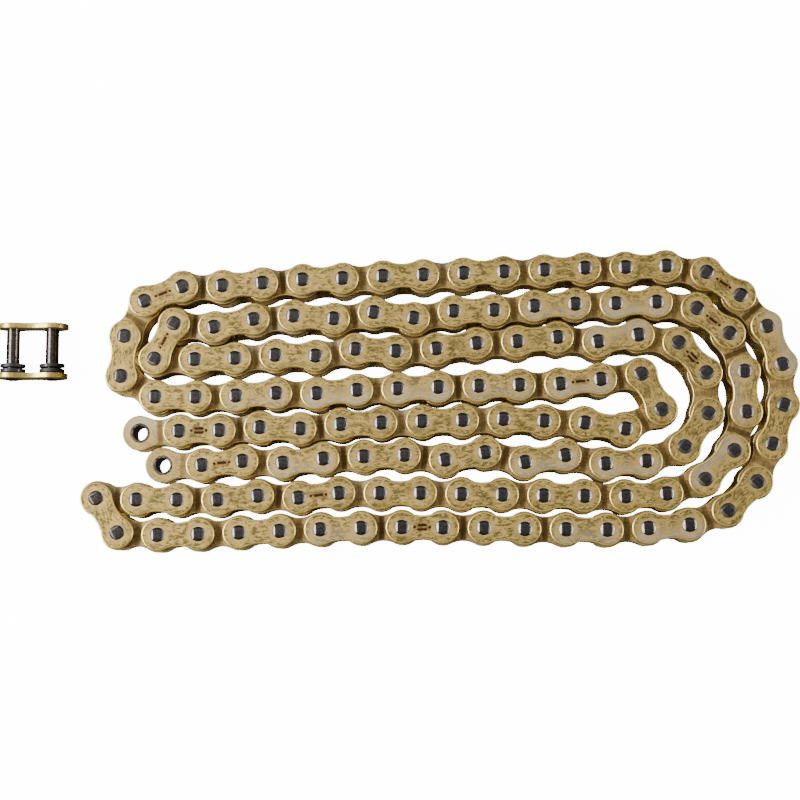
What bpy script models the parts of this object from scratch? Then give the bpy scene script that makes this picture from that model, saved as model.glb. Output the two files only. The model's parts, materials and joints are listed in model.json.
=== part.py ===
"""Motorcycle drive chain, 525 size, sealed-ring type, laid flat in its folded coil.

A free run of 129 links, inner and outer in turn, lies on its side on a table with
both free ends on the left. Beside it stands the loose riveting link that closes it.
Metres, +Z up. The origin is on the table, under the middle of the whole set.
"""

import math

import bmesh
import bpy
import numpy as np

# ---------------------------------------------------------------- driving dimensions
PITCH = 0.015875            # pin to pin, 5/8 inch
ROLLER_RADIUS = 0.00508
INNER_WIDTH = 0.00794       # between the inner plates, where the sprocket tooth goes
PLATE = 0.0022              # thickness of every plate
RING_GAP = 0.0016           # inner plate to outer plate, filled by a sealing ring
HEAD_PROUD = 0.00065        # riveted pin end beyond the outer plate
PIN_RADIUS = 0.00265
BUSHING_RADIUS = 0.0040
INNER_END = 0.0072          # end radius of an inner plate
INNER_WAIST = 0.0049        # half width at its middle
ROW_WAIST = 0.0040          # half width of a joined row between two pins
OUTER_END = 0.0065          # end radius of an outer plate
OUTER_WAIST = 0.0048
RUNNING = 0.0001            # radial play of a pin in a bushing
GAP = 0.0003                # between pieces that touch
BITE = 0.0002               # how far joined shapes reach into each other
RING_RADIUS = 0.0052        # outside of a sealing ring
RING_SECTION = 0.00074      # half the thickness of a sealing ring
NEST = 0.0148               # closest that pins of neighbouring rows lie
WAIST_NEST = 0.0126         # closest that a pin lies to the middle of a neighbour's link

# heights through the chain, which is the same above and below its middle
OUTER_FACE = HEAD_PROUD
RING_LOW = OUTER_FACE + PLATE
INNER_LOW = RING_LOW + RING_GAP
INNER_HIGH = INNER_LOW + PLATE
WIDTH = 2 * INNER_HIGH + INNER_WIDTH

# The riveting link stands on its plates' edges, its pins along Y.
RIVET_LINK_X = -0.14508
RIVET_LINK_Y = 0.0098       # outer face of its pin plate
RIVET_PIN_LENGTH = 0.0226   # from that face to the pins' tips
RIVET_SIDE_PLATE_Y = 0.0201  # from that face to the side plate
LOOSE_RING_SECTION = 0.00085

# ---------------------------------------------------------------- how the chain lies
# Hinge number along the run, and where that hinge lies, in millimetres.
# The run starts at the upper free end, and each straight row ends in a turn.
COIL_SHIFT = (0.0175, 0.0002)
LAY_MM = (
    (0, -112.5, -12.5), (4, -54, -10.5), (9, 25, -7.5), (11, 57, -9.5), (12, 73, -11),
    (13, 87, -4.5), (14, 82.5, 11), (16, 51, 5.5), (20, -12.5, 5), (24, -76, 2), (26, -108.5, 6),
    (27, -125, 9), (28, -124, 25.5), (29, -116, 40), (30, -99.5, 41), (35, -19.5, 49),
    (42, 91.5, 51.5), (43, 108, 51), (44, 123.5, 46.5), (46, 129, 14), (48, 131.5, -18.5),
    (50, 112, -43.5), (51, 96.5, -47.5), (52, 80.5, -50), (58, -14.5, -49.5), (64, -109.5, -53),
    (65, -125.5, -52), (66, -132, -38), (67, -116, -39.5), (73, -22, -36.5), (79, 73.5, -37.5),
    (80, 90, -34.5), (82, 115, -20), (84, 119.5, 11.5), (86, 100.5, 34), (87, 85, 39),
    (93, -10, 33), (99, -105.5, 29.5), (100, -113, 15.5), (101, -96, 14.5), (107, -2, 21.5),
    (112, 78, 24), (113, 93, 19), (114, 106, 10), (115, 104.5, -6), (117, 83, -25), (118, 67, -23.5),
    (123, -13.5, -22), (129, -104, -25.5),
)
LINKS = 129

# Rows are joined solids, from one outer link to another. Turns lie between them.
ROWS = {
    "row_5_strand": (3, 11), "row_4_strand": (15, 25), "row_1_strand": (29, 41),
    "row_8_strand": (53, 63), "row_7_strand": (67, 79), "row_2_strand": (87, 97),
    "row_3_strand": (101, 111), "row_6_strand": (117, 127),
}
LEFT_TURNS = {"left_turn_upper": 26, "left_turn_middle": 98, "left_turn_lower": 64}
LEADING_ROW = "row_5_strand"  # joined to the inner link before it
RIGHT_LOOPS = {
    "outermost_loop": (42, 52), "second_loop": (80, 86), "third_loop": (112, 116),
    "innermost_loop": (12, 14),
}

# The lowest two rows stay put when the coil is opened, and the rest swings round the
# right-hand loops. These pieces swing on the hinge after them, the others on the one before.
SWUNG_FROM_BEYOND = ("outermost_loop", "row_1_strand", "innermost_loop", "row_5_strand")

# ---------------------------------------------------------------- materials
FINISHES = {
    "outer_plate": ((0.58, 0.43, 0.22), 0.32, 1.0),
    "inner_plate": ((0.50, 0.36, 0.17), 0.38, 1.0),
    "pin": ((0.16, 0.16, 0.18), 0.30, 1.0),
    "bushing": ((0.20, 0.16, 0.12), 0.35, 1.0),
    "roller": ((0.10, 0.09, 0.08), 0.40, 1.0),
    "x_ring": ((0.015, 0.015, 0.016), 0.45, 0.0),
}


def make_material(name):
    """Return a new Principled material with the finish of that name."""
    colour, roughness, metallic = FINISHES[name]
    material = bpy.data.materials.new(name)
    material.use_nodes = True
    shader = material.node_tree.nodes["Principled BSDF"]
    shader.inputs["Base Color"].default_value = (*colour, 1.0)
    shader.inputs["Roughness"].default_value = roughness
    shader.inputs["Metallic"].default_value = metallic
    material.diffuse_color = (*colour, 1.0)
    return material


# ---------------------------------------------------------------- where the hinges lie
def guide_points():
    """Hinge places on a smooth curve through LAY_MM, not yet at an exact pitch."""
    number = np.array([row[0] for row in LAY_MM], float)
    place = np.array([row[1:] for row in LAY_MM], float) / 1000
    tangent = np.zeros_like(place)
    tangent[1:-1] = (place[2:] - place[:-2]) / (number[2:] - number[:-2])[:, None]
    tangent[0] = (place[1] - place[0]) / (number[1] - number[0])
    tangent[-1] = (place[-1] - place[-2]) / (number[-1] - number[-2])
    points = np.zeros((LINKS + 1, 2))
    for hinge in range(LINKS + 1):
        knot = min(np.searchsorted(number, hinge, side="right") - 1, len(number) - 2)
        span = number[knot + 1] - number[knot]
        t = (hinge - number[knot]) / span
        points[hinge] = ((2 * t**3 - 3 * t**2 + 1) * place[knot]
                         + (t**3 - 2 * t**2 + t) * span * tangent[knot]
                         + (3 * t**2 - 2 * t**3) * place[knot + 1]
                         + (t**3 - t**2) * span * tangent[knot + 1])
    return points


def crowding(here, there, limit, push):
    """Which pairs lie closer than the limit, and how far to move each end apart."""
    across = there - here
    distance = np.hypot(across[:, 0], across[:, 1])
    close = distance < limit
    shove = (push * (limit - distance[close]) / distance[close])[:, None] * across[close]
    return close, shove


def lay_chain():
    """Settle the hinges at an exact pitch, with no row pressing into its neighbour."""
    settling_rounds, free_rounds, pull, push = 300, 900, 0.03, 0.3
    guide = guide_points()
    points = guide.copy()
    first, second = np.triu_indices(len(points), 2)
    pin, link = np.indices((LINKS + 1, LINKS)).reshape(2, -1)
    apart = (pin < link - 1) | (pin > link + 2)
    pin, link = pin[apart], link[apart]
    for step in range(settling_rounds + free_rounds):
        if step < settling_rounds:
            points += pull * (guide - points)
        close, shove = crowding(points[first], points[second], NEST, push)
        np.add.at(points, first[close], -shove)
        np.add.at(points, second[close], shove)
        waists = (points[1:] + points[:-1]) / 2
        close, shove = crowding(points[pin], waists[link], WAIST_NEST, push)
        np.add.at(points, pin[close], -shove)
        np.add.at(points, link[close], shove)
        np.add.at(points, link[close] + 1, shove)
        for parity in (0, 1) * 4:
            start = np.arange(parity, LINKS, 2)
            along = points[start + 1] - points[start]
            length = np.hypot(along[:, 0], along[:, 1])[:, None]
            correction = 0.5 * (length - PITCH) / length * along
            points[start] += correction
            points[start + 1] -= correction
    middle = LINKS // 2
    exact = points.copy()
    for hinge in range(middle, LINKS):
        along = points[hinge + 1] - points[hinge]
        exact[hinge + 1] = exact[hinge] + along * PITCH / np.hypot(*along)
    for hinge in range(middle, 0, -1):
        along = points[hinge - 1] - points[hinge]
        exact[hinge - 1] = exact[hinge] + along * PITCH / np.hypot(*along)
    return exact + np.array(COIL_SHIFT)


# ---------------------------------------------------------------- shapes
def add_object(name, mesh, collection):
    """Put a mesh in the scene as an object of the given collection."""
    thing = bpy.data.objects.new(name, mesh)
    collection.objects.link(thing)
    return thing


def mesh_of_curve(curve_object):
    """Turn a filled curve into a welded mesh and remove the curve."""
    bpy.context.view_layer.update()
    evaluated = curve_object.evaluated_get(bpy.context.evaluated_depsgraph_get())
    mesh = bpy.data.meshes.new_from_object(evaluated)
    curve = curve_object.data
    bpy.data.objects.remove(curve_object)
    bpy.data.curves.remove(curve)
    welded = bmesh.new()
    welded.from_mesh(mesh)
    bmesh.ops.remove_doubles(welded, verts=welded.verts, dist=1e-6)
    welded.to_mesh(mesh)
    welded.free()
    return mesh


def slab(name, outline, low, high, collection):
    """A flat outline, given counter-clockwise, extruded from one height to another."""
    curve = bpy.data.curves.new(name, "CURVE")
    curve.dimensions = "2D"
    curve.fill_mode = "BOTH"
    curve.extrude = (high - low) / 2
    spline = curve.splines.new("POLY")
    spline.points.add(len(outline) - 1)
    for point, (x, y) in zip(spline.points, outline):
        point.co = (x, y, 0.0, 1.0)
    spline.use_cyclic_u = True
    carrier = bpy.data.objects.new(name, curve)
    collection.objects.link(carrier)
    mesh = mesh_of_curve(carrier)
    solid = add_object(name, mesh, collection)
    solid.location.z = (low + high) / 2
    return solid


def post(name, centre, radius, low, high, collection, sides):
    """A round post standing on a hinge; its flats, not its corners, have the radius."""
    mesh = bpy.data.meshes.new(name)
    shape = bmesh.new()
    corner = radius / math.cos(math.pi / sides)
    bmesh.ops.create_cone(shape, cap_ends=True, segments=sides, radius1=corner,
                          radius2=corner, depth=high - low)
    shape.to_mesh(mesh)
    shape.free()
    solid = add_object(name, mesh, collection)
    solid.location = (centre[0], centre[1], (low + high) / 2)
    return solid


def combine(target, others, operation):
    """Join the others to the target, or cut them from it, and keep the plain result."""
    for other in others:
        modifier = target.modifiers.new(operation.lower(), "BOOLEAN")
        modifier.operation = operation
        modifier.solver = "EXACT"
        modifier.object = other
    bpy.context.view_layer.update()
    evaluated = target.evaluated_get(bpy.context.evaluated_depsgraph_get())
    mesh = bpy.data.meshes.new_from_object(evaluated)
    target.modifiers.clear()
    target.data = mesh
    for other in others:
        bpy.data.objects.remove(other)
    return target


def plate_outline(start, end, end_radius, waist, arc_points):
    """Waisted plate round two hinges: an arc at each end and one point at each waist."""
    start, end = np.asarray(start), np.asarray(end)
    heading = math.atan2(end[1] - start[1], end[0] - start[0])
    middle = (start + end) / 2
    sweep = math.radians(103)
    outline = []
    for hinge, facing in ((end, heading), (start, heading + math.pi)):
        for step in range(arc_points):
            angle = facing - sweep + 2 * sweep * step / (arc_points - 1)
            outline.append((hinge[0] + end_radius * math.cos(angle),
                            hinge[1] + end_radius * math.sin(angle)))
        side = facing + math.pi / 2
        outline.append((middle[0] + waist * math.cos(side), middle[1] + waist * math.sin(side)))
    return outline


def scalloped_outline(hinges, end_radius, waist):
    """One outline round a row of inner plates: flat-topped bulges and waists between."""
    flat = math.radians(27)                  # half the angle that a bulge's flat spans
    corner = end_radius
    cap = [math.radians(a) for a in (-75, -25, 25, 75)]
    ways = [math.atan2(*(b - a)[::-1]) for a, b in zip(hinges[:-1], hinges[1:])]

    def one_side(points, headings):
        """Right-hand side of the row, walking along it, up to its end cap."""
        side = []
        for index in range(1, len(points)):
            across = headings[index - 1] - math.pi / 2
            between = (points[index - 1] + points[index]) / 2
            side.append(between + waist * np.array((math.cos(across), math.sin(across))))
            if index < len(points) - 1:
                turn = (headings[index] - headings[index - 1] + math.pi) % (2 * math.pi) - math.pi
                across += turn / 2
                for angle in (across - flat, across + flat):
                    spoke = np.array((math.cos(angle), math.sin(angle)))
                    side.append(points[index] + corner * spoke)
        for angle in cap:
            spoke = np.array((math.cos(headings[-1] + angle), math.sin(headings[-1] + angle)))
            side.append(points[-1] + corner * spoke)
        return side

    back = [heading + math.pi for heading in reversed(ways)]
    return one_side(list(hinges), ways) + one_side(list(hinges)[::-1], back)


# ---------------------------------------------------------------- links and rows
class ChainBuilder:
    """Makes the chain's pieces, each as one named object in the parts collection."""

    def __init__(self, collection):
        self.parts = collection
        self.materials = {name: make_material(name) for name in FINISHES}
        self.hinges = lay_chain()

    def finish(self, solid, name, material, origin):
        """Name a finished piece, colour it, shade it and put its origin on its hinge."""
        mesh = solid.data
        shape = bmesh.new()
        shape.from_mesh(mesh)
        bmesh.ops.transform(shape, matrix=solid.matrix_basis, verts=shape.verts)
        bmesh.ops.translate(shape, vec=[-value for value in origin], verts=shape.verts)
        bmesh.ops.dissolve_limit(shape, angle_limit=math.radians(0.2), verts=shape.verts,
                                 edges=shape.edges)
        bmesh.ops.triangulate(shape, faces=shape.faces)
        shape.to_mesh(mesh)
        shape.free()
        solid.matrix_basis.identity()
        solid.location = origin
        solid.name = name
        mesh.name = name
        mesh.materials.clear()
        mesh.materials.append(self.materials[material])
        mesh.shade_smooth()
        mesh.set_sharp_from_angle(angle=math.radians(35))
        return solid

    def at(self, hinge):
        """World point on a hinge's axis, at table height."""
        return (self.hinges[hinge][0], self.hinges[hinge][1], 0.0)

    def plates(self, link, kind, arc_points):
        """The lower and upper plate of a link, as loose solids."""
        end_radius, waist, low = {
            "inner": (INNER_END, INNER_WAIST, INNER_LOW),
            "outer": (OUTER_END, OUTER_WAIST, OUTER_FACE),
        }[kind]
        outline = plate_outline(self.hinges[link], self.hinges[link + 1],
                                end_radius, waist, arc_points)
        high = WIDTH - low - PLATE
        return [slab("plate", outline, base, base + PLATE, self.parts) for base in (low, high)]

    def outer_link(self, link, pinned):
        """Two outer plates riveted on pins at the given hinges, as one solid."""
        lower, upper = self.plates(link, "outer", 5)
        pins = [post("pin", self.hinges[h], PIN_RADIUS, 0.0, WIDTH, self.parts, 8)
                for h in pinned]
        return combine(lower, [upper, *pins], "UNION")

    def inner_link(self, link, bored):
        """Two inner plates on two bushings with their rollers, as one solid."""
        lower, upper = self.plates(link, "inner", 5)
        rollers = [post("roller", self.hinges[h], ROLLER_RADIUS, INNER_HIGH - BITE,
                        WIDTH - INNER_HIGH + BITE, self.parts, 8) for h in (link, link + 1)]
        solid = combine(lower, [upper, *rollers], "UNION")
        return combine(solid, [self.bore(hinge) for hinge in bored], "DIFFERENCE")

    def bore(self, hinge):
        """Cutter for a bushing's bore, in which an eight-sided pin can turn."""
        radius = PIN_RADIUS / math.cos(math.pi / 8) + RUNNING
        return post("bore", self.hinges[hinge], radius, -BITE, WIDTH + BITE, self.parts, 8)

    def left_turn(self, name, link):
        """An inner, an outer and an inner link, joined, with open bores at both ends."""
        first = self.inner_link(link, [link])
        last = self.inner_link(link + 2, [link + 3])
        middle = self.outer_link(link + 1, (link + 1, link + 2))
        solid = combine(first, [middle, last], "UNION")
        return self.finish(solid, name, "inner_plate", self.at(link))

    def strand(self, name, first, last):
        """A straight row from outer link to outer link, joined into one solid."""
        hinges = self.hinges[first + 1:last + 1]
        outline = scalloped_outline(hinges, INNER_END, ROW_WAIST)
        lower = slab("band", outline, OUTER_FACE, INNER_HIGH, self.parts)
        upper = slab("band", outline, WIDTH - INNER_HIGH, WIDTH - OUTER_FACE, self.parts)
        rollers = [post("roller", hinge, ROLLER_RADIUS, INNER_HIGH - BITE,
                        WIDTH - INNER_HIGH + BITE, self.parts, 6) for hinge in hinges]
        solid = combine(lower, [upper, *rollers], "UNION")
        ends = [self.outer_link(first, [first]), self.outer_link(last, [last + 1])]
        combine(solid, ends, "UNION")
        if name == LEADING_ROW:
            combine(solid, [self.inner_link(first - 1, [first - 1])], "UNION")
        swings_on = last + 1 if name in SWUNG_FROM_BEYOND else first
        return self.finish(solid, name, "outer_plate", self.at(swings_on))

    def loop(self, name, first, last):
        """The links of a right-hand loop, each a piece of its own on real hinges."""
        for place, link in enumerate(range(first, last + 1), start=1):
            if link % 2:
                solid, kind = self.outer_link(link, (link, link + 1)), "outer"
            else:
                solid, kind = self.inner_link(link, [link, link + 1]), "inner"
            swings_on = link + 1 if name in SWUNG_FROM_BEYOND else link
            self.finish(solid, f"{name}_{place:02d}_{kind}_link", f"{kind}_plate",
                        self.at(swings_on))

    def free_end(self):
        """The upper free end, taken apart: every plate, pin, bushing, roller and ring."""
        for kind, link in (("inner", 0), ("outer", 1)):
            hole = {"inner": BUSHING_RADIUS + GAP, "outer": PIN_RADIUS + GAP}[kind]
            for level, solid in zip(("lower", "upper"), self.plates(link, kind, 6)):
                bores = [post("bore", self.hinges[h], hole, -BITE, WIDTH + BITE, self.parts, 12)
                         for h in (link, link + 1)]
                combine(solid, bores, "DIFFERENCE")
                self.finish(solid, f"end_{kind}_plate_{level}", f"{kind}_plate", self.at(1))
        for place, hinge in enumerate((0, 1), start=1):
            bushing = post("bushing", self.hinges[hinge], BUSHING_RADIUS, INNER_LOW,
                           WIDTH - INNER_LOW, self.parts, 12)
            bore = post("bore", self.hinges[hinge], PIN_RADIUS + 2 * RUNNING, -BITE,
                        WIDTH + BITE, self.parts, 12)
            self.finish(combine(bushing, [bore], "DIFFERENCE"), f"end_bushing_{place}",
                        "bushing", self.at(hinge))
            roller = post("roller", self.hinges[hinge], ROLLER_RADIUS, INNER_HIGH + GAP,
                          WIDTH - INNER_HIGH - GAP, self.parts, 12)
            bore = post("bore", self.hinges[hinge], BUSHING_RADIUS + GAP, -BITE,
                        WIDTH + BITE, self.parts, 12)
            self.finish(combine(roller, [bore], "DIFFERENCE"), f"end_roller_{place}",
                        "roller", self.at(hinge))
        for place, hinge in enumerate((1, 2), start=1):
            pin = post("pin", self.hinges[hinge], PIN_RADIUS * math.cos(math.pi / 12), 0.0,
                       WIDTH, self.parts, 12)
            self.finish(pin, f"end_pin_{place}", "pin", self.at(hinge))
            for level, height in (("lower", RING_LOW + RING_GAP / 2),
                                  ("upper", WIDTH - RING_LOW - RING_GAP / 2)):
                ring = self.ring("ring", (*self.hinges[hinge], height), RING_SECTION)
                self.finish(ring, f"end_x_ring_{place}_{level}", "x_ring", self.at(hinge))

    def ring(self, name, centre, section, turned=False):
        """A sealing ring: a small closed profile turned round the hinge axis."""
        middle = RING_RADIUS - section
        profile = bpy.data.meshes.new(name)
        reach = section * math.sqrt(2)
        corners = [(middle + reach * math.cos(a), 0.0, reach * math.sin(a))
                   for a in (math.radians(45 + 90 * k) for k in range(4))]
        profile.from_pydata(corners, [(0, 1), (1, 2), (2, 3), (3, 0)], [])
        solid = add_object(name, profile, self.parts)
        screw = solid.modifiers.new("turn", "SCREW")
        screw.steps = screw.render_steps = 10
        screw.use_merge_vertices = True
        screw.merge_threshold = 0.00001
        solid.location = centre
        if turned:
            solid.rotation_euler.x = math.pi / 2
        bpy.context.view_layer.update()
        evaluated = solid.evaluated_get(bpy.context.evaluated_depsgraph_get())
        mesh = bpy.data.meshes.new_from_object(evaluated)
        solid.modifiers.clear()
        solid.data = mesh
        shape = bmesh.new()
        shape.from_mesh(mesh)
        bmesh.ops.recalc_face_normals(shape, faces=shape.faces)
        shape.to_mesh(mesh)
        shape.free()
        return solid

    def rivet_link(self):
        """The loose link: pins standing in their plate, rings on them, side plate on top."""
        half = PITCH / 2
        outline = plate_outline((-half, 0.0), (half, 0.0), OUTER_END, OUTER_WAIST, 6)
        tip = RIVET_LINK_Y + RIVET_PIN_LENGTH
        levels = {"pin_plate": RIVET_LINK_Y, "side_plate": RIVET_LINK_Y + RIVET_SIDE_PLATE_Y}
        for name, face in levels.items():
            plate = slab("plate", outline, 0.0, PLATE, self.parts)
            hole = PIN_RADIUS + GAP
            bores = [post("bore", (x, 0.0), hole, -BITE, PLATE + BITE, self.parts, 12)
                     for x in (-half, half)]
            combine(plate, bores, "DIFFERENCE")
            plate.rotation_euler.x = -math.pi / 2
            plate.location = (RIVET_LINK_X, face + PLATE / 2, OUTER_END)
            self.finish(plate, f"rivet_link_{name}", "outer_plate",
                        (RIVET_LINK_X, face + PLATE / 2, OUTER_END))
        for place, x in enumerate((RIVET_LINK_X - half, RIVET_LINK_X + half), start=1):
            start = RIVET_LINK_Y - HEAD_PROUD
            pin = post("pin", (0.0, 0.0), PIN_RADIUS * math.cos(math.pi / 12), 0.0,
                       tip - start, self.parts, 12)
            pin.rotation_euler.x = -math.pi / 2
            pin.location = (x, (start + tip) / 2, OUTER_END)
            self.finish(pin, f"rivet_link_pin_{place}", "pin", (x, start, OUTER_END))
            for stack in (0, 1):
                y = (RIVET_LINK_Y + PLATE + GAP + LOOSE_RING_SECTION
                     + stack * (2 * LOOSE_RING_SECTION + GAP))
                ring = self.ring("ring", (x, y, OUTER_END), LOOSE_RING_SECTION, turned=True)
                self.finish(ring, f"rivet_link_x_ring_{place}_{stack + 1}", "x_ring",
                            (x, y, OUTER_END))


def main():
    for thing in list(bpy.data.objects):
        bpy.data.objects.remove(thing)
    collection = bpy.data.collections.new("drive_chain")
    bpy.context.scene.collection.children.link(collection)
    builder = ChainBuilder(collection)
    builder.free_end()
    for name, (first, last) in ROWS.items():
        builder.strand(name, first, last)
    for name, link in LEFT_TURNS.items():
        builder.left_turn(name, link)
    for name, (first, last) in RIGHT_LOOPS.items():
        builder.loop(name, first, last)
    opposite_end = builder.inner_link(LINKS - 1, [LINKS - 1, LINKS])
    builder.finish(opposite_end, "end_b_inner_link", "inner_plate", builder.at(LINKS - 1))
    builder.rivet_link()


main()
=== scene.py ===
"""The looks of the motorcycle drive chain: plates, staked pins, bushings, rollers and
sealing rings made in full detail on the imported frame's bodies, on a pale floor."""

import json
import math

import bpy
import numpy as np
from mathutils import Matrix, Vector

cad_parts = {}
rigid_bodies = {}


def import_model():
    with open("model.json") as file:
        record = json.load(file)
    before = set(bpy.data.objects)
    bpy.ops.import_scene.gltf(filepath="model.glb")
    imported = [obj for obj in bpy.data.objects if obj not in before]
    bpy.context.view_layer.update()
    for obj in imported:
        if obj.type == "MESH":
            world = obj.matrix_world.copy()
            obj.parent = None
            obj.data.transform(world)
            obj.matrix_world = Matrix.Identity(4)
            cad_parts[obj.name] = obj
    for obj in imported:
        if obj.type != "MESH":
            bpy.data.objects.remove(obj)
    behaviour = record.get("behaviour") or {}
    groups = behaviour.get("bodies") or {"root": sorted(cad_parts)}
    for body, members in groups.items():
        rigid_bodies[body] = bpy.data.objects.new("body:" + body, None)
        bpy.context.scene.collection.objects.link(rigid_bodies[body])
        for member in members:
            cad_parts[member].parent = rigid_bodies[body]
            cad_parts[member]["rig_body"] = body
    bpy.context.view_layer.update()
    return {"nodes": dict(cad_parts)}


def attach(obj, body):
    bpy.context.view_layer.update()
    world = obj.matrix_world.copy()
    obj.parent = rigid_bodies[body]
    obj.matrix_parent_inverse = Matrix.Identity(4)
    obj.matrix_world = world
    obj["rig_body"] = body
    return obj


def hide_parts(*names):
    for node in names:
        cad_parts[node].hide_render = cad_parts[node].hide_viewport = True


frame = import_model()

MM = 1000.0              # the materials count in millimetres

# ---------------------------------------------------------------- the chain's sizes, metres
PITCH = 0.015875
ROLLER_RADIUS = 0.00508
PLATE = 0.0022
RING_GAP = 0.0016
HEAD_PROUD = 0.00065
PIN_RADIUS = 0.00265
HEAD_RADIUS = 0.00288
BUSHING_RADIUS = 0.0039
BUSHING_BORE = 0.00283
BUSHING_PROUD = 0.00012
ROLLER_HALF_LENGTH, ROLLER_PLAY = 0.00367, 0.0002
OUTER_END, OUTER_WAIST = 0.00635, 0.0047
INNER_END, INNER_WAIST = 0.0070, 0.0050
RING_RADIUS, RING_SECTION = 0.0052, 0.00078
LOOSE_RING_SECTION = 0.00085
LOOSE_RING_TILT = math.radians(2.2)
SNUG = 0.00002           # a plate's hole reaches this far into the piece that fills it
GAP = 0.0003             # between pieces that touch
NEST, WAIST_NEST = 0.0148, 0.0126   # the closest that two pins, and a pin and a waist, lie
OUTER_FACE = HEAD_PROUD
RING_LOW = OUTER_FACE + PLATE
INNER_LOW = RING_LOW + RING_GAP
INNER_HIGH = INNER_LOW + PLATE
WIDTH = 2 * INNER_HIGH + 0.00794
RIVET_LINK_X, RIVET_LINK_Y = -0.14508, 0.0098
RIVET_PIN_LENGTH, RIVET_SIDE_PLATE_Y = 0.0226, 0.0201

# ---------------------------------------------------------------- how the chain lies
COIL_SHIFT = (0.0175, 0.0002)
# A few hinges by number, with their places; the others follow on a smooth curve.
LAY_MM = (
    (0, -112.5, -12.5), (4, -54, -10.5), (9, 25, -7.5), (11, 57, -9.5), (12, 73, -11),
    (13, 87, -4.5), (14, 82.5, 11), (16, 51, 5.5), (20, -12.5, 5), (24, -76, 2), (26, -108.5, 6),
    (27, -125, 9), (28, -124, 25.5), (29, -116, 40), (30, -99.5, 41), (35, -19.5, 49),
    (42, 91.5, 51.5), (43, 108, 51), (44, 123.5, 46.5), (46, 129, 14), (48, 131.5, -18.5),
    (50, 112, -43.5), (51, 96.5, -47.5), (52, 80.5, -50), (58, -14.5, -49.5), (64, -109.5, -53),
    (65, -125.5, -52), (66, -132, -38), (67, -116, -39.5), (73, -22, -36.5), (79, 73.5, -37.5),
    (80, 90, -34.5), (82, 115, -20), (84, 119.5, 11.5), (86, 100.5, 34), (87, 85, 39),
    (93, -10, 33), (99, -105.5, 29.5), (100, -113, 15.5), (101, -96, 14.5), (107, -2, 21.5),
    (112, 78, 24), (113, 93, 19), (114, 106, 10), (115, 104.5, -6), (117, 83, -25),
    (118, 67, -23.5), (123, -13.5, -22), (129, -104, -25.5),
)
LINKS = 129

# Which links each row or turn of the frame holds, first and last.
GROUPS = {
    "row_5_strand": (2, 11), "row_4_strand": (15, 25), "row_1_strand": (29, 41),
    "row_8_strand": (53, 63), "row_7_strand": (67, 79), "row_2_strand": (87, 97),
    "row_3_strand": (101, 111), "row_6_strand": (117, 127), "left_turn_upper": (26, 28),
    "left_turn_middle": (98, 100), "left_turn_lower": (64, 66), "end_b_inner_link": (128, 128),
}
LOOPS = {
    "outermost_loop": (42, 52), "second_loop": (80, 86), "third_loop": (112, 116),
    "innermost_loop": (12, 14),
}
# Links with a batch mark, and how many bars it has.
MARKED = {1: 2, 15: 1, 29: 1, 43: 1, 57: 2, 71: 1, 85: 1, 99: 1, 113: 2, 127: 1}


def guide_points():
    """Hinge places on a smooth curve through LAY_MM, not yet at an exact pitch."""
    number = np.array([row[0] for row in LAY_MM], float)
    place = np.array([row[1:] for row in LAY_MM], float) / 1000
    tangent = np.zeros_like(place)
    tangent[1:-1] = (place[2:] - place[:-2]) / (number[2:] - number[:-2])[:, None]
    tangent[0] = (place[1] - place[0]) / (number[1] - number[0])
    tangent[-1] = (place[-1] - place[-2]) / (number[-1] - number[-2])
    points = np.zeros((LINKS + 1, 2))
    for hinge in range(LINKS + 1):
        knot = min(np.searchsorted(number, hinge, side="right") - 1, len(number) - 2)
        span = number[knot + 1] - number[knot]
        t = (hinge - number[knot]) / span
        points[hinge] = ((2 * t**3 - 3 * t**2 + 1) * place[knot]
                         + (t**3 - 2 * t**2 + t) * span * tangent[knot]
                         + (3 * t**2 - 2 * t**3) * place[knot + 1]
                         + (t**3 - t**2) * span * tangent[knot + 1])
    return points


def crowding(here, there, limit, push):
    """Which pairs lie closer than the limit, and how far to move each end apart."""
    across = there - here
    distance = np.hypot(across[:, 0], across[:, 1])
    close = distance < limit
    shove = (push * (limit - distance[close]) / distance[close])[:, None] * across[close]
    return close, shove


def lay_chain():
    """Settle the hinges at an exact pitch, with no row pressing into its neighbour."""
    settling_rounds, free_rounds, pull, push = 300, 900, 0.03, 0.3
    guide = guide_points()
    points = guide.copy()
    first, second = np.triu_indices(len(points), 2)
    pin, link = np.indices((LINKS + 1, LINKS)).reshape(2, -1)
    apart = (pin < link - 1) | (pin > link + 2)
    pin, link = pin[apart], link[apart]
    for step in range(settling_rounds + free_rounds):
        if step < settling_rounds:
            points += pull * (guide - points)
        close, shove = crowding(points[first], points[second], NEST, push)
        np.add.at(points, first[close], -shove)
        np.add.at(points, second[close], shove)
        waists = (points[1:] + points[:-1]) / 2
        close, shove = crowding(points[pin], waists[link], WAIST_NEST, push)
        np.add.at(points, pin[close], -shove)
        np.add.at(points, link[close], shove)
        np.add.at(points, link[close] + 1, shove)
        for parity in (0, 1) * 4:
            start = np.arange(parity, LINKS, 2)
            along = points[start + 1] - points[start]
            length = np.hypot(along[:, 0], along[:, 1])[:, None]
            correction = 0.5 * (length - PITCH) / length * along
            points[start] += correction
            points[start + 1] -= correction
    middle = LINKS // 2
    exact = points.copy()
    for hinge in range(middle, LINKS):
        along = points[hinge + 1] - points[hinge]
        exact[hinge + 1] = exact[hinge] + along * PITCH / np.hypot(*along)
    for hinge in range(middle, 0, -1):
        along = points[hinge - 1] - points[hinge]
        exact[hinge - 1] = exact[hinge] + along * PITCH / np.hypot(*along)
    return exact + np.array(COIL_SHIFT)


HINGES = lay_chain()


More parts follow.
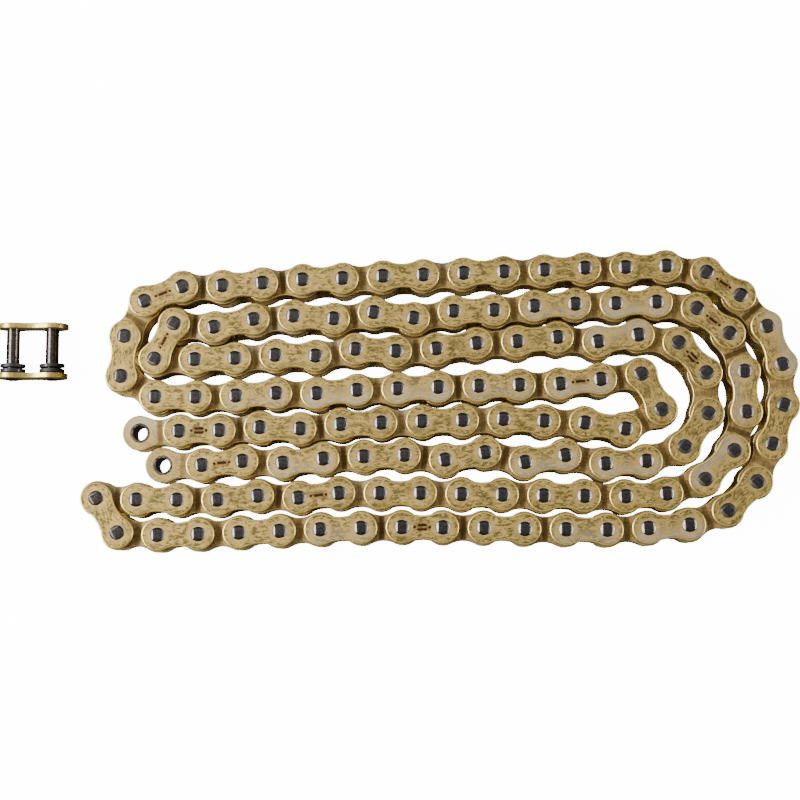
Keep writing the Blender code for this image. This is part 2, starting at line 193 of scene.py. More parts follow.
# ---------------------------------------------------------------- templates
class Template:
    """Vertices and quads of one kind of piece in its own frame, with per-vertex data.

    local holds the place on the piece in millimetres, rim is 1 where an edge is worn bright; on a
    pin's facets across the link it is a quarter, a painted shade.
    """

    def __init__(self):
        self.places, self.quads, self.rims, self.count = [], [], [], 0

    def ring(self, points, rim=0.0):
        """Add vertices and return their numbers."""
        points = np.asarray(points, float)
        self.places.append(points)
        self.rims.append(np.broadcast_to(rim, len(points)).astype(float))
        numbers = np.arange(self.count, self.count + len(points))
        self.count += len(points)
        return numbers

    def bridge(self, low, high, closed=True):
        """Quads between two rows of vertices; the low row runs counter-clockwise inside."""
        ahead = np.roll(low, -1), np.roll(high, -1)
        quads = np.stack([low, ahead[0], ahead[1], high], axis=1)
        self.quads.append(quads if closed else quads[:-1])

    def arrays(self):
        return np.concatenate(self.places), np.concatenate(self.quads), np.concatenate(self.rims)


ARC, WAIST = 15, 10      # steps round a plate's end, and along its waist


def plate_path(end_radius, waist, inset):
    """Upper half of a plate's outline, inset by that much, from the right tip to the left."""
    half = PITCH / 2
    hollow = (half**2 + waist**2 - end_radius**2) / (2 * (end_radius - waist))
    centre = np.array((0.0, waist + hollow))
    join = math.atan2(centre[1], -half)               # from the right hinge to that centre
    points = []
    for step in range(ARC):
        angle = join * step / (ARC - 1)
        points.append((half + (end_radius - inset) * math.cos(angle),
                       (end_radius - inset) * math.sin(angle)))
    start = math.atan2(-centre[1], half)
    for step in range(1, WAIST):
        angle = start + (-math.pi - 2 * start) * step / WAIST
        points.append((centre[0] + (hollow + inset) * math.cos(angle),
                       centre[1] + (hollow + inset) * math.sin(angle)))
    points += [(-x, y) for x, y in reversed(points[:ARC])]
    return np.array(points)


def hole_path(radius, total):
    """Upper half of the two holes and of the line between them, right tip to left tip."""
    half, round_steps = PITCH / 2, total // 2 - 3
    right = [(half + radius * math.cos(math.pi * s / round_steps),
              radius * math.sin(math.pi * s / round_steps)) for s in range(round_steps + 1)]
    gap = half - radius
    between = total - 2 * len(right)
    line = [(gap - 2 * gap * s / (between + 1), 0.0) for s in range(1, between + 1)]
    return np.array(right + line + [(-x, y) for x, y in reversed(right)])


def closed_ring(path, height):
    """A half path and its mirror image as one closed ring at that height."""
    lower = path[-2:0:-1] * (1, -1)
    flat = np.concatenate([path, lower])
    return np.column_stack([flat, np.full(len(flat), height)])


def plate_template(end_radius, waist, hole, bevel, steps):
    """A plate with two holes: worn bevel on its outer face (+Z), a small one on the other."""
    shape = Template()
    top, depth = PLATE / 2, bevel * 0.8
    back_bevel, shoulder, margin = 0.00018, 0.00013, 0.0006
    profile = [(back_bevel, -top, 0.3), (0.0, -top + back_bevel, 0.2)]
    for step in range(steps + 1):
        angle = math.pi / 2 * step / steps
        profile.append((bevel * (1 - math.cos(angle)), top - depth + depth * math.sin(angle), 1.0))
    profile.append((bevel + shoulder, top, 0.55))
    rings = []
    for inset, height, rim in profile:
        rings.append(shape.ring(closed_ring(plate_path(end_radius, waist, inset), height), rim))
    for low, high in zip(rings[:-1], rings[1:]):
        shape.bridge(low, high)
    inner_path = plate_path(end_radius, waist, bevel + margin)
    total = len(inner_path)
    inner = shape.ring(closed_ring(inner_path, top))
    shape.bridge(rings[-1], inner)
    holes = hole_path(hole, total)
    walls = []
    for height in (top, -top):
        upper = shape.ring(np.column_stack([holes, np.full(total, height)]))
        lower = shape.ring(np.column_stack([holes * (1, -1), np.full(total, height)]))
        walls.append((upper, lower))
        outside = inner if height > 0 else rings[0]
        out_low = np.concatenate([[outside[0]], outside[:total - 2:-1]])
        if height > 0:
            shape.bridge(outside[:total], upper, closed=False)
            shape.bridge(lower, out_low, closed=False)
        else:
            shape.bridge(upper, outside[:total], closed=False)
            shape.bridge(out_low, lower, closed=False)
    round_count = total // 2 - 2
    for side, (top_row, low_row) in enumerate(zip(*walls)):
        for start in (0, total - round_count):
            rows = top_row[start:start + round_count], low_row[start:start + round_count]
            first, second = rows if side == 0 else rows[::-1]
            shape.bridge(first, second, closed=False)
    return shape.arrays()


def turned_template(profile, rims=None):
    """A closed profile of (radius, height) points turned round Z, walked up its outer side."""
    shape, segments = Template(), 40
    angles = np.arange(segments) * 2 * math.pi / segments
    rows = []
    for index, (radius, height) in enumerate(profile):
        circle = (radius * np.cos(angles), radius * np.sin(angles), np.full(segments, height))
        rows.append(shape.ring(np.column_stack(circle), rims[index] if rims else 0.0))
    for low, high in zip(rows, rows[1:] + rows[:1]):
        shape.bridge(low, high)
    return shape.arrays()


def tube_template(outside, bore, half, chamfer):
    """A tube with chamfered ends, the same length above and below its middle."""
    profile = [(bore, chamfer / 2 - half), (bore + chamfer / 2, -half), (outside - chamfer, -half),
               (outside, chamfer - half), (outside, half - chamfer), (outside - chamfer, half),
               (bore + chamfer / 2, half), (bore, half - chamfer / 2)]
    return turned_template(profile, [0.0, 0.6, 0.8, 1.0, 1.0, 0.8, 0.6, 0.0])


def ring_template(radius, section):
    """A sealing ring with a four-lobed section."""
    around, lobe, pressed_out = 16, 0.14, 1.06
    profile = []
    middle = radius - section
    for step in range(around):
        angle = 2 * math.pi * step / around
        swell = 1 - lobe + lobe * math.cos(4 * (angle - math.pi / 4))
        reach = section * swell * pressed_out
        profile.append((middle + reach * math.cos(angle), reach * math.sin(angle)))
    return turned_template(profile)


def pin_template(length):
    """A pin with both ends staked: a flat square land and four sloping facets round it."""
    shape = Template()
    segments, land, slope = 48, 0.00164, math.tan(math.radians(24))
    dimple_radius, centre_radius, lip_width, neck_depth = 0.0004, 0.00002, 0.00012, 0.0008
    angles = np.arange(segments) * 2 * math.pi / segments
    reach = np.maximum(np.abs(np.cos(angles)), np.abs(np.sin(angles)))
    half = length / 2

    def row(radii, flip, rim, dip=0.0):
        x, y = radii * np.cos(angles), radii * np.sin(angles)
        # the facets across the link keep a quarter of the bright tint, a painted shade, which
        # leaves the facets along the link as painted highlights
        across = np.abs(y) > np.abs(x) * 1.02
        rim = np.where(across, rim * 0.25, rim)
        fall = np.maximum(np.maximum(np.abs(x), np.abs(y)) - land, 0) * slope + dip
        return shape.ring(np.column_stack([x, y, flip * (half - fall)]), rim)

    outer = np.full(segments, HEAD_RADIUS)
    rows = []
    for flip in (-1, 1):
        centre = row(np.full(segments, centre_radius), flip, 0.0, 0.00002)
        dimple = row(np.full(segments, dimple_radius), flip, 0.0, 0.00001)
        step = row(land * 0.96 / reach, flip, 0.0)
        edge = row(land * 1.02 / reach, flip, 1.0)
        lip = row(outer - lip_width, flip, 1.0)
        wall = row(outer, flip, 0.0, 0.00008)
        x, y = PIN_RADIUS * np.cos(angles), PIN_RADIUS * np.sin(angles)
        z = np.full(segments, flip * (half - neck_depth))
        neck = shape.ring(np.column_stack([x, y, z]))
        rows.append([centre, dimple, step, edge, lip, wall, neck])
    lower, upper = rows
    walk = lower + upper[::-1]
    for low, high in zip(walk[:-1], walk[1:]):
        shape.bridge(low, high)
    return shape.arrays()


TEMPLATES = {
    "outer": plate_template(OUTER_END, OUTER_WAIST, PIN_RADIUS - SNUG, 0.00062, 5),
    "inner": plate_template(INNER_END, INNER_WAIST, BUSHING_RADIUS - SNUG, 0.00040, 4),
    "pin": pin_template(WIDTH),
    "rivet_pin": pin_template(RIVET_PIN_LENGTH + HEAD_PROUD),
    "bushing": tube_template(BUSHING_RADIUS, BUSHING_BORE,
                             WIDTH / 2 - INNER_LOW + BUSHING_PROUD, 0.00025),
    "roller": tube_template(ROLLER_RADIUS, BUSHING_RADIUS + ROLLER_PLAY, ROLLER_HALF_LENGTH,
                            0.0004),
    "ring": ring_template(RING_RADIUS, RING_SECTION),
    "loose_ring": ring_template(RING_RADIUS, LOOSE_RING_SECTION),
}


# ---------------------------------------------------------------- putting pieces together
SHARP_ANGLE = math.radians(28)


def chance(*numbers):
    """A fixed number from 0 to 1 for those whole numbers."""
    value, modulus = 0, 1000003
    for number in numbers:
        value = (value * 31 + number * 7919 + 104729) % modulus
    return (value * 7907 % modulus) / modulus


class Piece:
    """Collects placed templates of one finish into one mesh object.

    Its tint attribute holds a number that differs between pieces, how worn the edge is, and
    the mark: the bars of a batch mark on a plate, or 1 on a pin that lies loose.
    """

    def __init__(self, name, finish):
        self.name, self.finish = name, finish
        self.places, self.local, self.tints, self.quads, self.count = [], [], [], [], 0

    def add(self, template, matrix, seed, mark=0.0):
        places, quads, rims = TEMPLATES[template]
        turn = np.array(matrix)[:3, :3]
        self.places.append(places @ turn.T + np.array(matrix)[:3, 3])
        self.local.append(places * MM)
        self.tints.append(np.column_stack([np.full(len(places), seed), rims,
                                           np.full(len(places), mark)]))
        flipped = np.linalg.det(turn) < 0
        self.quads.append((quads[:, ::-1] if flipped else quads) + self.count)
        self.count += len(places)

    def build(self, body, nodes=()):
        mesh = bpy.data.meshes.new(self.name)
        mesh.from_pydata(np.concatenate(self.places).tolist(), [],
                         np.concatenate(self.quads).tolist())
        for name, rows in (("local", self.local), ("tint", self.tints)):
            layer = mesh.attributes.new(name, "FLOAT_VECTOR", "POINT")
            layer.data.foreach_set("vector", np.concatenate(rows).astype(np.float32).ravel())
        mesh.validate()
        mesh.shade_smooth()
        mesh.set_sharp_from_angle(angle=SHARP_ANGLE)
        mesh.materials.append(MATERIALS[self.finish])
        thing = bpy.data.objects.new(self.name, mesh)
        bpy.context.scene.collection.objects.link(thing)
        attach(thing, body)
        if nodes:
            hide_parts(*nodes)


# ---------------------------------------------------------------- materials
def shade(colour, factor):
    """The colour made darker or lighter by that factor."""
    return [min(1.0, value * factor) for value in colour]


class Nodes:
    """Short helpers to write a procedural material."""

    def __init__(self, name):
        self.material = bpy.data.materials.new(name)
        self.material.use_nodes = True
        self.tree = self.material.node_tree
        self.shader = self.tree.nodes["Principled BSDF"]

    def put(self, socket, value):
        if isinstance(value, bpy.types.NodeSocket):
            self.tree.links.new(value, socket)
        elif hasattr(socket.default_value, "__len__") and not hasattr(value, "__len__"):
            socket.default_value = [value] * len(socket.default_value)
        elif hasattr(value, "__len__") and len(value) == 3 and len(socket.default_value) == 4:
            socket.default_value = (*value, 1.0)
        else:
            socket.default_value = value

    def node(self, kind, **settings):
        node = self.tree.nodes.new(kind)
        for key, value in settings.items():
            setattr(node, key, value)
        return node

    def attribute(self, name):
        return self.node("ShaderNodeAttribute", attribute_name=name).outputs["Vector"]

    def split(self, vector):
        node = self.node("ShaderNodeSeparateXYZ")
        self.put(node.inputs[0], vector)
        return node.outputs

    def join(self, x, y, z):
        node = self.node("ShaderNodeCombineXYZ")
        for socket, value in zip(node.inputs, (x, y, z)):
            self.put(socket, value)
        return node.outputs[0]

    def start(self, spread):
        """The place on the piece in mm, its tints, and a shift that differs between pieces."""
        tints = self.split(self.attribute("tint"))
        return (*self.split(self.attribute("local")), tints, self.times(tints[0], spread))

    def shifted(self, x, y, z, shift):
        return self.join(self.plus(x, shift), self.plus(y, shift), z)

    def stretched(self, x, y, z, across, up):
        return self.join(self.times(x, across), self.times(y, across), self.times(z, up))

    def maths(self, operation, a, b=0.0, clamp=False):
        node = self.node("ShaderNodeMath", operation=operation, use_clamp=clamp)
        for socket, value in zip(node.inputs, (a, b)):
            self.put(socket, value)
        return node.outputs[0]

    def times(self, a, b, clamp=False):
        return self.maths("MULTIPLY", a, b, clamp)

    def plus(self, a, b):
        return self.maths("ADD", a, b)

    def minus(self, a, b):
        return self.maths("SUBTRACT", a, b)

    def above(self, a, b):
        return self.maths("GREATER_THAN", a, b)

    def size(self, a):
        return self.maths("ABSOLUTE", a)

    def distance(self, a, b):
        """How long the vector (a, b) is."""
        squares = self.plus(self.maths("POWER", a, 2.0), self.maths("POWER", b, 2.0))
        return self.maths("SQRT", squares)

    def ramp(self, value, low, high, to_low=0.0, to_high=1.0):
        node = self.node("ShaderNodeMapRange", interpolation_type="SMOOTHSTEP")
        for key, item in (("Value", value), ("From Min", low), ("From Max", high),
                          ("To Min", to_low), ("To Max", to_high)):
            self.put(node.inputs[key], item)
        return node.outputs["Result"]

    def noise(self, vector, scale, detail=4.0, rough=0.55, distortion=0.0):
        node = self.node("ShaderNodeTexNoise")
        self.put(node.inputs["Vector"], vector)
        for key, value in (("Scale", scale), ("Detail", detail), ("Roughness", rough),
                           ("Distortion", distortion)):
            node.inputs[key].default_value = value
        return node.outputs["Fac"]

    def mix(self, factor, a, b):
        node = self.node("ShaderNodeMix", data_type="RGBA")
        self.put(node.inputs[0], factor)
        self.put(node.inputs[6], a)
        self.put(node.inputs[7], b)
        return node.outputs[2]

    def bump(self, height, strength, distance):
        node = self.node("ShaderNodeBump")
        node.inputs["Strength"].default_value = strength
        node.inputs["Distance"].default_value = distance
        self.put(node.inputs["Height"], height)
        return node.outputs["Normal"]

    def set(self, **values):
        for key, value in values.items():
            self.put(self.shader.inputs[key.replace("_", " ")], value)
        return self.material


def scratches(n, x, y, shift):
    """Fine streaks along the plate, and nicks that slant across it."""
    along = n.join(n.times(n.plus(x, shift), 0.12), n.plus(y, shift), 0.0)
    tilt = n.plus(n.times(x, 0.72), n.times(y, 0.69))
    over = n.minus(n.times(y, 0.72), n.times(x, 0.69))
    slanting = n.join(n.times(n.plus(tilt, shift), 0.10), over, 7.0)
    return (n.ramp(n.noise(along, 5.0, 3.0, 0.6, 0.15), 0.60, 0.70),
            n.ramp(n.noise(slanting, 3.4, 2.0, 0.5, 0.2), 0.68, 0.74))


def batch_mark(n, x, y, z, mark, spot):
    """Burnt-in marks, one or two plain bars with a dot at each end, and the scorch round them."""
    bar_half_length, bar_half_width, dot_at, dot_radius = 1.80, 0.50, 2.95, 0.55
    marked = n.above(mark, 0.5)
    row = n.times(n.above(mark, 1.5), 0.85)
    bar = n.maths("MAXIMUM", n.minus(n.size(x), bar_half_length),
                  n.minus(n.size(n.minus(n.size(y), row)), bar_half_width))
    dot = n.minus(n.distance(n.minus(n.size(x), dot_at), y), dot_radius)
    ragged = n.times(n.minus(n.noise(spot, 2.6, 3.0, 0.6), 0.5), 0.7)
    burnt = n.ramp(n.plus(n.maths("MINIMUM", bar, dot), ragged), 0.10, -0.06)
    on_face = n.above(z, PLATE / 2 * MM - 0.05)
    scorch = n.times(n.ramp(n.size(x), 3.0, 1.9), n.ramp(n.size(y), 1.8, 0.9))
    return n.times(n.times(burnt, on_face), marked), n.times(scorch, marked)


def plate_material(name, plain, smear, rim, outer):
    """Gold-coloured plated steel with oily smears, fine scratches and worn bright edges."""
    n = Nodes(name)
    x, y, z, (seed, edge, mark), shift = n.start(397.0)
    spot = n.join(n.plus(x, shift), n.plus(y, n.times(shift, 0.37)), n.times(z, 0.6))
    to_hinge = n.distance(n.minus(n.size(x), PITCH / 2 * MM), y)
    # broad cloudy tone, then oily olive smears that gather towards the edge of each end
    cloud = n.noise(spot, 0.22, 3.0, 0.6, 0.4)
    colour = n.mix(n.ramp(cloud, 0.35, 0.7), plain, shade(plain, 0.80))
    drawn = n.join(n.times(n.plus(x, shift), 0.42), n.plus(y, shift), n.times(z, 0.6))
    blot = n.noise(drawn, 0.46, 5.0, 0.56, 1.1)
    streak = n.noise(drawn, 1.05, 5.0, 0.60, 0.9)
    fine = n.noise(spot, 2.6, 5.0, 0.65, 0.6)
    towards = n.maths("MAXIMUM", n.ramp(to_hinge, 3.6, 5.3), n.ramp(n.size(y), 2.3, 4.3))
    dirty = n.maths("FRACT", n.times(seed, 7.3))
    soft = n.times(n.ramp(blot, 0.44, 0.72, 0.0, 0.75), n.ramp(dirty, 0.1, 0.9, 0.30, 1.15))
    sharp = n.times(towards, n.ramp(streak, 0.470, 0.550))
    smears = n.times(n.maths("MAXIMUM", soft, sharp), n.ramp(fine, 0.34, 0.52, 0.55, 1.0))
    colour = n.mix(n.times(smears, 0.90 if outer else 0.45, clamp=True), colour, smear)
    # a few plates are rubbed pale and silvery along one side
    rubbed = n.times(n.ramp(dirty, 0.30, 0.12),
                     n.ramp(n.plus(streak, n.times(y, 0.03)), 0.50, 0.62))
    colour = n.mix(n.times(rubbed, 0.55), colour, (0.66, 0.56, 0.40))
    # small specks of dried oil
    specks = n.ramp(n.noise(spot, 3.8, 2.0, 0.5), 0.66, 0.72)
    colour = n.mix(n.times(specks, 0.45), colour, shade(smear, 0.38))
    streaks, nicks = scratches(n, x, y, shift)
    colour = n.mix(n.times(streaks, 0.28), colour, shade(plain, 1.35))
    colour = n.mix(n.times(nicks, 0.40), colour, (0.78, 0.66, 0.44))
    height = n.minus(n.times(fine, 0.35), n.times(n.plus(streaks, nicks), 0.4))
    if outer:
        # metal pushed up round the staked pin, pale and scraped
        burr = n.times(n.ramp(to_hinge, 3.5, 2.75),
                       n.ramp(n.noise(spot, 1.5, 4.0, 0.6, 0.8), 0.47, 0.60))
        colour = n.mix(n.times(burr, 0.70), colour, (0.66, 0.60, 0.50))
        burnt, scorch = batch_mark(n, x, y, z, mark, spot)
        colour = n.mix(n.times(scorch, 0.55), colour, (0.26, 0.12, 0.035))
        colour = n.mix(n.times(burnt, 0.95), colour, (0.022, 0.008, 0.004))
        height = n.minus(n.plus(height, n.times(burr, 1.2)), n.times(burnt, 0.8))
    else:
        # the faint round witness mark of the stamping die at the middle of the plate
        circle = n.ramp(n.size(n.minus(n.distance(x, y), 2.45)), 0.16, 0.04)
        colour = n.mix(n.times(circle, 0.45), colour, (0.10, 0.06, 0.02))
        # painted shade: a dark brown band across the waist, between the outer plates that shade
        # it, deeper on some plates
        waist_shade = n.times(n.ramp(n.plus(n.size(x), n.times(blot, 1.2)), 2.2, 1.2),
                        n.ramp(seed, 0.0, 1.0, 0.45, 0.95))
        colour = n.mix(waist_shade, colour, (0.105, 0.060, 0.016))
        height = n.minus(height, n.times(circle, 1.2))
    # a dark line of grime just inside the worn edge, and the edge itself polished pale
    groove = n.times(n.ramp(edge, 0.15, 0.5), n.ramp(edge, 0.95, 0.6))
    colour = n.mix(n.times(groove, 0.40), colour, shade(smear, 0.55))
    worn = n.times(n.ramp(edge, 0.75, 1.0), n.ramp(fine, 0.32, 0.56, 0.35, 1.0))
    colour = n.mix(worn, colour, rim)
    # the sheared side wall has fine striations across its thickness
    wall = n.ramp(z, PLATE / 2 * MM - 0.55, PLATE / 2 * MM - 0.9)
    shear = n.noise(n.stretched(x, y, z, 3.0, 0.3), 1.6, 3.0, 0.6)
    stained = n.mix(n.ramp(shear, 0.40, 0.66), rim, shade(plain, 0.62))
    colour = n.mix(n.times(wall, 0.85), colour, stained)
    rough = n.ramp(fine, 0.3, 0.7, 0.44, 0.60)
    for area, polish in ((smears, 0.06), (worn, 0.18), (wall, 0.14)):
        rough = n.minus(rough, n.times(area, polish))
    return n.set(Base_Color=colour, Metallic=0.80, Roughness=rough,
                 Normal=n.bump(height, 0.35, 0.00006))


def pin_material():
    """Dark hardened steel; the staked facets are bare and bright, those along the link painted
    brighter than those across it, a painted highlight.
    """
    n = Nodes("pin")
    x, y, z, (_, facet_and_painted_shade, lying), shift = n.start(211.0)
    spot = n.shifted(x, y, z, shift)
    grain = n.noise(spot, 2.4, 6.0, 0.65, 0.4)
    colour = n.mix(n.ramp(grain, 0.35, 0.70), (0.046, 0.043, 0.043), (0.105, 0.096, 0.092))
    shine = n.ramp(n.noise(spot, 0.9, 3.0, 0.6, 0.6), 0.30, 0.62)
    # bare facets painted bright; across the link only a quarter as much: painted highlight along
    # the link, painted shade across it
    bare = n.times(facet_and_painted_shade, n.ramp(shine, 0.0, 1.0, 0.55, 1.0))
    colour = n.mix(bare, colour, (0.20, 0.180, 0.162))
    pressed = n.noise(n.join(n.times(x, 0.6), n.times(y, 0.6), shift), 3.0, 3.0, 0.6, 0.5)
    # the loose link's pins show their ground sides, and one end with a reddish tip
    ground = n.noise(n.stretched(x, y, z, 0.5, 3.0), 2.0, 4.0, 0.6)
    polished = n.mix(n.ramp(ground, 0.35, 0.65), (0.050, 0.040, 0.036), (0.150, 0.122, 0.108))
    body = n.times(lying, n.ramp(n.size(z), 11.4, 11.0))
    colour = n.mix(body, colour, polished)
    tip = n.times(lying, n.ramp(z, -10.9, -11.3))
    colour = n.mix(n.times(tip, 0.8), colour, (0.13, 0.030, 0.018))
    rough = n.minus(n.ramp(grain, 0.3, 0.7, 0.26, 0.42), n.times(body, 0.12))
    return n.set(Base_Color=colour, Metallic=0.95, Roughness=rough,
                 Normal=n.bump(n.plus(grain, pressed), 0.30, 0.00005))


def steel_material(name, dark, light, rough_low, rough_high, worn_colour):
    """Bushing and roller steel: browned, mottled, greasy, with worn edges."""
    n = Nodes(name)
    x, y, z, (_, edge, _), shift = n.start(173.0)
    spot = n.shifted(x, y, z, shift)
    mottle = n.noise(spot, 0.8, 6.0, 0.62, 0.7)
    turned = n.noise(n.stretched(x, y, z, 0.3, 5.0), 2.0, 3.0, 0.6)
    colour = n.mix(n.ramp(mottle, 0.35, 0.68), dark, light)
    worn = n.times(n.ramp(edge, 0.5, 1.0), n.ramp(mottle, 0.3, 0.6, 0.2, 0.8))
    colour = n.mix(worn, colour, worn_colour)
    grease = n.ramp(n.noise(spot, 0.5, 4.0, 0.6, 1.0), 0.50, 0.62)
    colour = n.mix(n.times(grease, 0.35), colour, (0.030, 0.022, 0.012))
    rough = n.minus(n.ramp(mottle, 0.3, 0.7, rough_low, rough_high), n.times(grease, 0.12))
    return n.set(Base_Color=colour, Metallic=0.9, Roughness=rough,
                 Normal=n.bump(n.plus(mottle, turned), 0.30, 0.00006))


def rubber_material():
    """Black nitrile rubber with a broken film of clear grease."""
    n = Nodes("x_ring")
    x, y, z, _, shift = n.start(119.0)
    spot = n.shifted(x, y, z, shift)
    film = n.ramp(n.noise(spot, 0.7, 4.0, 0.6, 1.2), 0.46, 0.58)
    grain = n.noise(spot, 4.0, 4.0, 0.6)
    colour = n.mix(n.ramp(grain, 0.35, 0.65), (0.008, 0.008, 0.009), (0.026, 0.025, 0.025))
    colour = n.mix(n.times(film, 0.20), colour, (0.045, 0.040, 0.034))
    return n.set(Base_Color=colour, Metallic=0.0, Roughness=n.ramp(film, 0.0, 1.0, 0.55, 0.24),
                 Coat_Weight=n.times(film, 0.35), Coat_Roughness=0.08,
                 Normal=n.bump(n.plus(grain, film), 0.35, 0.00008))


GOLD, OLIVE_SMEAR, BRIGHT_RIM = (0.665, 0.450, 0.130), (0.088, 0.076, 0.020), (1.00, 0.73, 0.20)
TAN, BROWN_SMEAR, DULL_RIM = (0.640, 0.445, 0.165), (0.120, 0.086, 0.026), (0.74, 0.53, 0.20)
MATERIALS = {
    "outer_plate": plate_material("outer_plate", GOLD, OLIVE_SMEAR, BRIGHT_RIM, True),
    "inner_plate": plate_material("inner_plate", TAN, BROWN_SMEAR, DULL_RIM, False),
    "pin": pin_material(),
    "bushing": steel_material("bushing", (0.075, 0.058, 0.046), (0.16, 0.13, 0.105), 0.30, 0.48,
                              (0.30, 0.25, 0.20)),
    "roller": steel_material("roller", (0.028, 0.024, 0.020), (0.070, 0.058, 0.046), 0.34, 0.52,
                             (0.14, 0.115, 0.090)),
    "x_ring": rubber_material(),
}


# ---------------------------------------------------------------- the chain's pieces
def body_of(node):
    return frame["nodes"][node]["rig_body"]


PIN_SEED, PLATE_SEED, RING_SEED, BUSHING_SEED, ROLLER_SEED = 3, 5, 11, 17, 23
LOOSE_PIN_SEED, LOOSE_RING_SEED, LOOSE_PLATE_SEED = 61, 71, 40
UPSIDE_DOWN = Matrix.Diagonal((1, 1, -1, 1))


def link_turn(link):
    """The turn that brings +X along that link."""
    start, end = HINGES[link], HINGES[link + 1]
    return Matrix.Rotation(math.atan2(end[1] - start[1], end[0] - start[0]), 4, "Z")


def link_matrix(link, height, outward):
    """Frame of a link's plate: +X along it, its outer face towards outward times Z."""
    middle = (HINGES[link] + HINGES[link + 1]) / 2
    matrix = Matrix.Translation((*middle, height)) @ link_turn(link)
    return matrix if outward > 0 else matrix @ UPSIDE_DOWN


def hinge_matrix(hinge, link, height=WIDTH / 2):
    """Frame of a hinge, turned as the link that holds it."""
    return Matrix.Translation((*HINGES[hinge], height)) @ link_turn(link)


def plate_levels(link):
    """Middle heights of a link's lower and upper plate."""
    low = (OUTER_FACE if link % 2 else INNER_LOW) + PLATE / 2
    return ((low, -1), (WIDTH - low, 1))


RING_LEVELS = (RING_LOW + RING_GAP / 2, WIDTH - RING_LOW - RING_GAP / 2)


def dress(node, name, links):
    """Every piece of those links, one object for each finish, on the node's body."""
    pieces = {}

    def into(finish):
        return pieces.setdefault(finish, Piece(f"{name}_{finish}s", finish))

    for link in links:
        kind = "outer" if link % 2 else "inner"
        for height, outward in plate_levels(link):
            mark = MARKED.get(link, 0) if outward > 0 else 0
            into(f"{kind}_plate").add(kind, link_matrix(link, height, outward),
                                      chance(link, outward + PLATE_SEED), mark)
        for hinge in (link, link + 1):
            place = hinge_matrix(hinge, link)
            if kind == "outer":
                into("pin").add("pin", place, chance(hinge, PIN_SEED))
                for height in RING_LEVELS:
                    into("x_ring").add("ring", hinge_matrix(hinge, link, height),
                                       chance(hinge, RING_SEED))
            else:
                into("bushing").add("bushing", place, chance(hinge, BUSHING_SEED))
                into("roller").add("roller", place, chance(hinge, ROLLER_SEED))
    main = "outer_plate" if "outer_plate" in pieces else "inner_plate"
    for finish, piece in pieces.items():
        piece.build(body_of(node), (node,) if finish == main else ())


for node, (first, last) in GROUPS.items():
    dress(node, node.replace("_strand", ""), range(first, last + 1))
for loop, (first, last) in LOOPS.items():
    for place, link in enumerate(range(first, last + 1), start=1):
        kind = "outer" if link % 2 else "inner"
        name = f"{loop}_{place:02d}"
        dress(f"{name}_{kind}_link", name, [link])


def single(node, template, finish, matrix, seed, mark=0.0):
    """One piece that stands for one node of the frame."""
    piece = Piece(f"{node}_detail", finish)
    piece.add(template, matrix, seed, mark)
    piece.build(body_of(node), (node,))


# the free end, taken apart
for kind, link in (("inner", 0), ("outer", 1)):
    for (height, outward), level in zip(plate_levels(link), ("lower", "upper")):
        single(f"end_{kind}_plate_{level}", kind, f"{kind}_plate",
               link_matrix(link, height, outward), chance(link, outward + PLATE_SEED),
               MARKED.get(link, 0) if outward > 0 else 0)
for place, hinge in enumerate((0, 1), start=1):
    matrix = hinge_matrix(hinge, 0)
    single(f"end_bushing_{place}", "bushing", "bushing", matrix, chance(hinge, BUSHING_SEED))
    single(f"end_roller_{place}", "roller", "roller", matrix, chance(hinge, ROLLER_SEED))
for place, hinge in enumerate((1, 2), start=1):
    single(f"end_pin_{place}", "pin", "pin", hinge_matrix(hinge, 1), chance(hinge, PIN_SEED))
    for level, height in zip(("lower", "upper"), RING_LEVELS):
        single(f"end_x_ring_{place}_{level}", "ring", "x_ring", hinge_matrix(hinge, 1, height),
               chance(hinge, RING_SEED))

# the riveting link: its plates stand on edge, its pins lie along Y
standing = Matrix.Rotation(-math.pi / 2, 4, "X")
for name, face, outward in (("pin_plate", RIVET_LINK_Y, -1),
                            ("side_plate", RIVET_LINK_Y + RIVET_SIDE_PLATE_Y, 1)):
    matrix = Matrix.Translation((RIVET_LINK_X, face + PLATE / 2, OUTER_END)) @ standing
    if outward < 0:
        matrix = matrix @ UPSIDE_DOWN
    single(f"rivet_link_{name}", "outer", "outer_plate", matrix,
           chance(outward + LOOSE_PLATE_SEED, 2))
for place, side in enumerate((-1, 1), start=1):
    x = RIVET_LINK_X + side * PITCH / 2
    middle = RIVET_LINK_Y + (RIVET_PIN_LENGTH - HEAD_PROUD) / 2
    single(f"rivet_link_pin_{place}", "rivet_pin", "pin",
           Matrix.Translation((x, middle, OUTER_END)) @ standing,
           chance(place, LOOSE_PIN_SEED), 1.0)
    for stack in (0, 1):
        y = (RIVET_LINK_Y + PLATE + GAP + LOOSE_RING_SECTION
             + stack * (2 * LOOSE_RING_SECTION + GAP))
        cocked = Matrix.Rotation(LOOSE_RING_TILT * stack * (place - 1), 4, "Z")
        single(f"rivet_link_x_ring_{place}_{stack + 1}", "loose_ring", "x_ring",
               Matrix.Translation((x, y, OUTER_END)) @ cocked @ standing,
               chance(place, stack + LOOSE_RING_SEED))

# ---------------------------------------------------------------- floor, lights and camera
FLOOR_SIZE, FLOOR_CLEARANCE = 4.0, 0.0002
# the floor glows evenly white in view, and is kept out of the metal's reflections
floor_nodes = Nodes("floor")
paper = floor_nodes.noise(floor_nodes.node("ShaderNodeTexCoord").outputs["Object"], 60.0, 3.0)
floor_nodes.set(Base_Color=floor_nodes.mix(paper, (0.90, 0.90, 0.90), (0.93, 0.93, 0.93)),
                Roughness=0.9, Emission_Color=(1.0, 1.0, 1.0), Emission_Strength=14.0)
bpy.ops.mesh.primitive_plane_add(size=FLOOR_SIZE, location=(0, 0, -FLOOR_CLEARANCE))
floor = bpy.context.object
floor.name = "floor"
floor.data.materials.append(floor_nodes.material)
floor.visible_diffuse = floor.visible_glossy = False


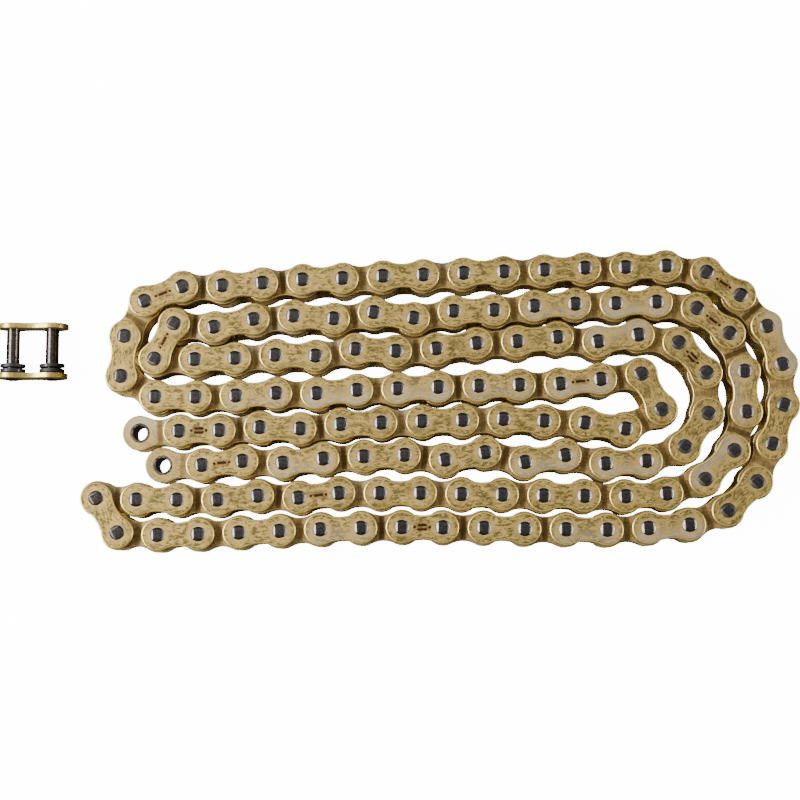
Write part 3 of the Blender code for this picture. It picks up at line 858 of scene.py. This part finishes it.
def softbox(name, place, size, energy):
    """A rectangular area light at a place, facing the middle of the floor."""
    light = bpy.data.lights.new(name, "AREA")
    light.shape, light.energy = "RECTANGLE", energy
    light.size, light.size_y = size
    lamp = bpy.data.objects.new(name, light)
    bpy.context.scene.collection.objects.link(lamp)
    facing = Vector(place).to_track_quat("Z", "Y").to_matrix().to_4x4()
    lamp.matrix_world = Matrix.Translation(place) @ facing


softbox("left_softbox", (-1.36, 0.05, 1.26), (1.25, 0.7), 66.0)
softbox("right_softbox", (1.62, -0.05, 0.52), (1.05, 0.52), 25.0)
softbox("top_fill", (0.0, 0.50, 1.40), (1.6, 0.5), 2.5)

# the room is dim at the sides and brighter overhead
world = bpy.data.worlds.new("studio")
world.use_nodes = True
bpy.context.scene.world = world
tree = world.node_tree
direction = tree.nodes.new("ShaderNodeTexCoord").outputs["Generated"]
parts = tree.nodes.new("ShaderNodeSeparateXYZ")
tree.links.new(direction, parts.inputs[0])
rise = tree.nodes.new("ShaderNodeMapRange")
rise.interpolation_type = "SMOOTHSTEP"
for key, value in (("From Min", 0.60), ("From Max", 0.97), ("To Min", 0.05), ("To Max", 0.22)):
    rise.inputs[key].default_value = value
tree.links.new(parts.outputs[2], rise.inputs["Value"])
tree.links.new(rise.outputs["Result"], tree.nodes["Background"].inputs["Strength"])
tree.nodes["Background"].inputs["Color"].default_value = (1.0, 0.99, 0.97, 1.0)

# the camera looks almost straight down; its lens is given for a picture 0.8 wide
FOCAL, PICTURE_WIDTH, SENSOR_WIDTH = 1.7274, 0.8, 36.0
CAMERA_PLACE, CAMERA_TURN = (0.024, -0.065, 0.691), (0.0967, 0.0309, 0.0014)
camera_data = bpy.data.cameras.new("camera")
camera_data.sensor_width = SENSOR_WIDTH
camera_data.lens = FOCAL / PICTURE_WIDTH * SENSOR_WIDTH
camera_data.clip_start, camera_data.clip_end = 0.01, 10.0
camera = bpy.data.objects.new("camera", camera_data)
bpy.context.scene.collection.objects.link(camera)
angle = math.sqrt(sum(part * part for part in CAMERA_TURN))
axis = [part / angle for part in CAMERA_TURN]
camera.matrix_world = Matrix.Translation(CAMERA_PLACE) @ Matrix.Rotation(angle, 4, axis)
bpy.context.scene.camera = camera
